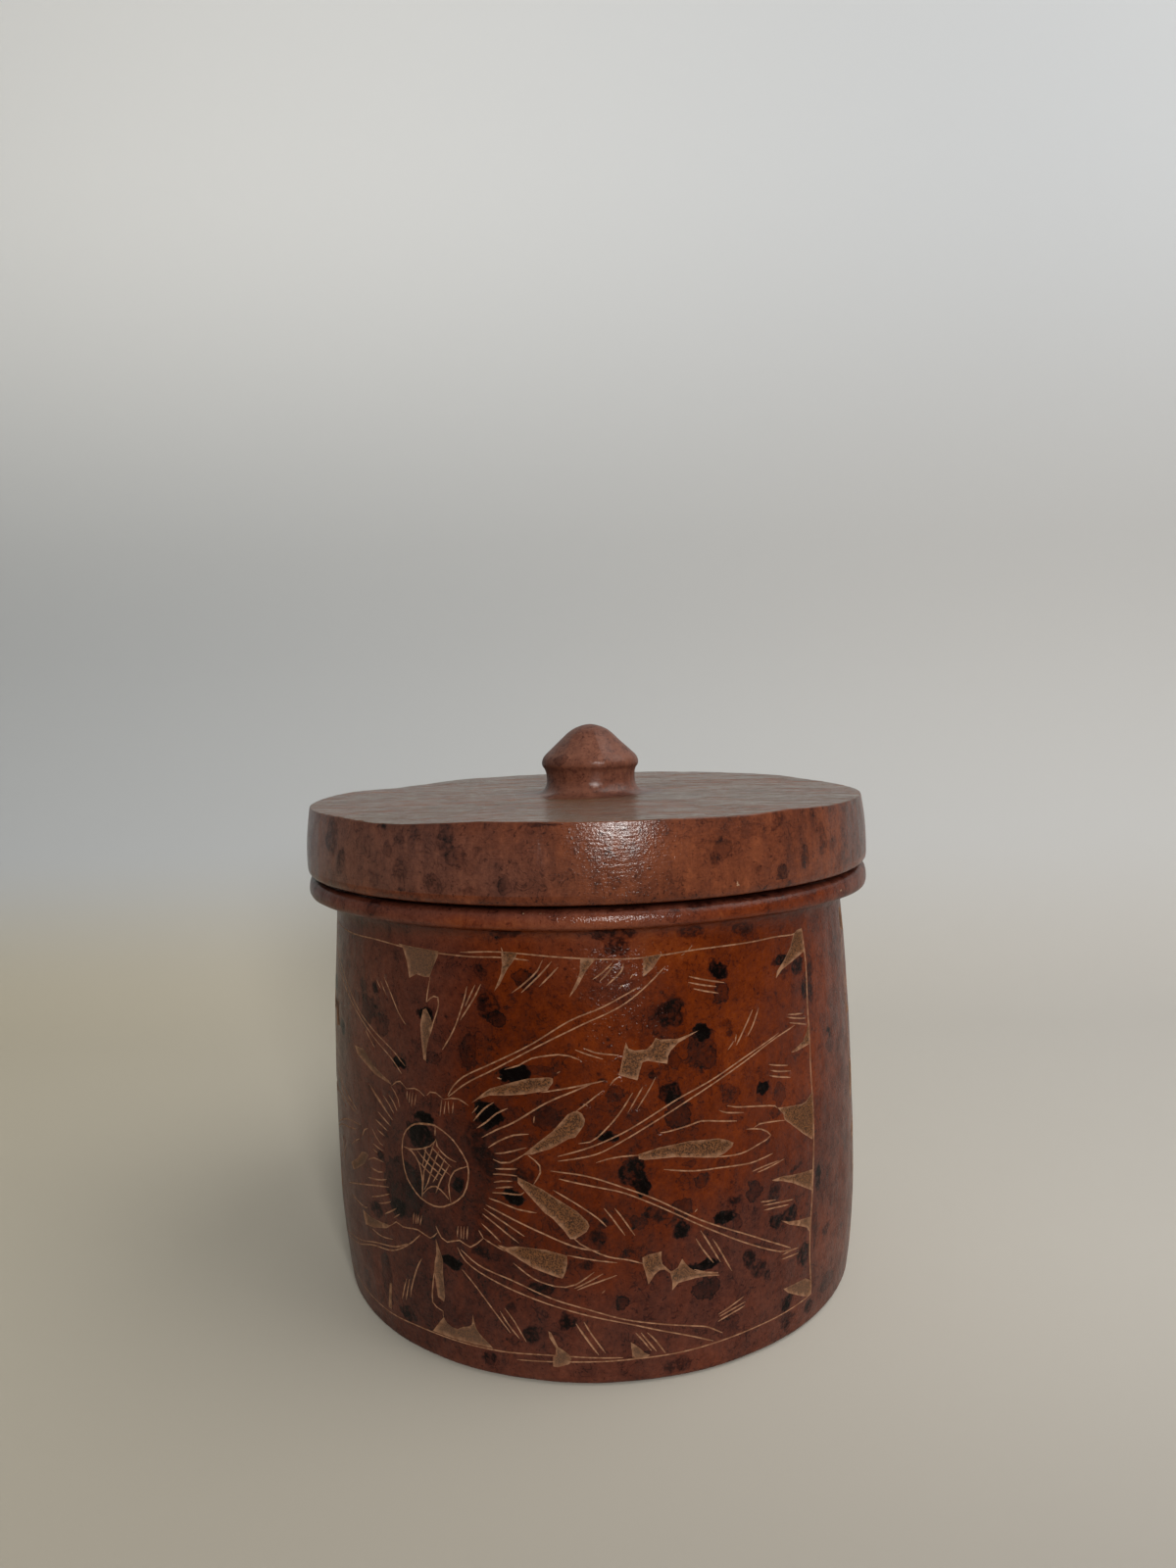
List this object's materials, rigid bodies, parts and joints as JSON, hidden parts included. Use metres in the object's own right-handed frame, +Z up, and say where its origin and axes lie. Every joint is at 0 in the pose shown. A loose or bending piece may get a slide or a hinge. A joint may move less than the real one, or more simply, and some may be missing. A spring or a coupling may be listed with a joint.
{
  "type": "soapstone lidded container",
  "caption": "Round carved and dyed soapstone jar with a rolled rim and an incised front panel, closed by a thick lift-off stone lid with a pointed knob.",
  "frame": {"origin": "middle of the jar's foot, on the surface it stands on", "axes": "+Z up through the jar and the lid's knob, -Y towards the incised front panel, +X to the right of someone facing that panel"},
  "size_m": [0.13, 0.13, 0.1259],
  "materials": {
    "jar_stone": "dyed and varnished, satin, with bare tan stone where it is incised",
    "lid_stone": "dyed and varnished, satin"
  },
  "bodies": {
    "jar": {"jar": "jar_stone"},
    "lid": {"lid": "lid_stone"}
  },
  "joints": [
    {"name": "lid_lift", "type": "slide", "parent": "jar", "child": "lid", "axis": [0, 0, 1], "range_m": [0, 0.12]}
  ]
}
